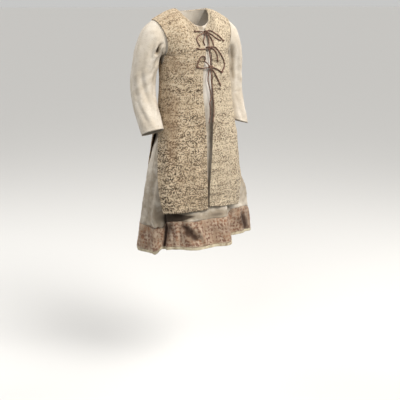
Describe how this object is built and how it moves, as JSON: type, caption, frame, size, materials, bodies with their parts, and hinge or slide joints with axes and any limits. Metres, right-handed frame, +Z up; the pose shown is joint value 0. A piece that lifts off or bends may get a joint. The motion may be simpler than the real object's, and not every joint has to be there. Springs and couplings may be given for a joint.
{
  "type": "layered dress",
  "caption": "Long-sleeved linen dress with a rust patterned hem band, worn under a sleeveless slub-woven over-tunic tied at the chest with leather laces.",
  "frame": {"origin": "on the body's upright axis at shoulder height, between the two shoulder seams, where the wearer's shoulders carry the garment", "axes": "+Z up, -Y towards the garment's front, +X towards the wearer's left"},
  "size_m": [0.5329, 0.3952, 0.9342],
  "materials": {
    "linen": "matt plain-woven cream linen",
    "rust_band": "matt worn rust-red patterned cloth",
    "pale_binding": "matt pale linen edge",
    "slub_tweed": "coarse slub weave in cream, tan and brown",
    "brown_leather": "worn dark brown thong"
  },
  "bodies": {
    "root": {"dress_front": "linen", "dress_back": "linen", "sleeve_right": "linen", "sleeve_left": "linen", "hem_band_front": "rust_band", "hem_band_back": "rust_band", "hem_binding_front": "pale_binding", "hem_binding_back": "pale_binding", "vest_front_right": "slub_tweed", "vest_front_left": "slub_tweed", "vest_back": "slub_tweed", "knot_bottom": "brown_leather", "knot_bottom_left_end": "brown_leather", "knot_bottom_right_end": "brown_leather", "knot_middle": "brown_leather", "knot_middle_right_end": "brown_leather", "knot_top": "brown_leather", "knot_top_left_end": "brown_leather", "knot_top_right_end": "brown_leather", "lace_bottom_end": "brown_leather", "lace_bottom_left": "brown_leather", "lace_bottom_loops": "brown_leather", "lace_bottom_right": "brown_leather", "lace_down_the_middle": "brown_leather", "lace_hanging_left": "brown_leather", "lace_hanging_right": "brown_leather", "lace_middle_end": "brown_leather", "lace_middle_long": "brown_leather", "lace_middle_right": "brown_leather", "lace_top_cross": "brown_leather", "lace_top_inner": "brown_leather", "lace_top_left_lower": "brown_leather", "lace_top_left_upper": "brown_leather", "lace_top_loop": "brown_leather", "lace_top_outer": "brown_leather", "lace_top_right": "brown_leather"}
  },
  "joints": []
}
